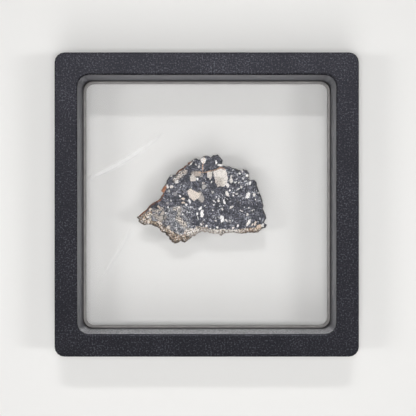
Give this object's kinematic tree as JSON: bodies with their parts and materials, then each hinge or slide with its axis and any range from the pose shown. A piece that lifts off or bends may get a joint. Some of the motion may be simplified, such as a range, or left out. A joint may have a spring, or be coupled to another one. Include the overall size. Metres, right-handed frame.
{
  "type": "meteorite slice in hinged film frame",
  "caption": "Thin sawn slice of lunar breccia held between stretched clear films in a small square black display frame that opens like a book.",
  "frame": {"origin": "centre of the square frame, on the plane of its back face, which is the face it lies on", "axes": "+Z out of the front face towards the viewer, +Y up in the picture the frame makes, +X to the right, away from the hinge"},
  "size_m": [0.0912, 0.09, 0.02],
  "materials": {
    "frame": "fine spark-eroded texture, matte black",
    "ring": "smooth moulded, grey",
    "film": "clear elastic film, glossy, faint stretch creases",
    "stone": "sawn and lapped breccia, pale clasts in dark grey melt, tan natural rim",
    "pin": "drawn wire"
  },
  "bodies": {
    "back": {"frame_back": "frame", "film_ring_back": "ring", "film_back": "film", "meteorite_slice": "stone", "hinge_pin_upper": "pin", "hinge_pin_lower": "pin"},
    "front": {"frame_front": "frame", "film_ring_front": "ring", "film_front": "film"}
  },
  "joints": [
    {"name": "frame_hinge", "type": "hinge", "parent": "back", "child": "front", "pos_m": [-0.04515, 0, 0.01], "axis": [0, -1, 0], "range_deg": [0, 180]}
  ]
}
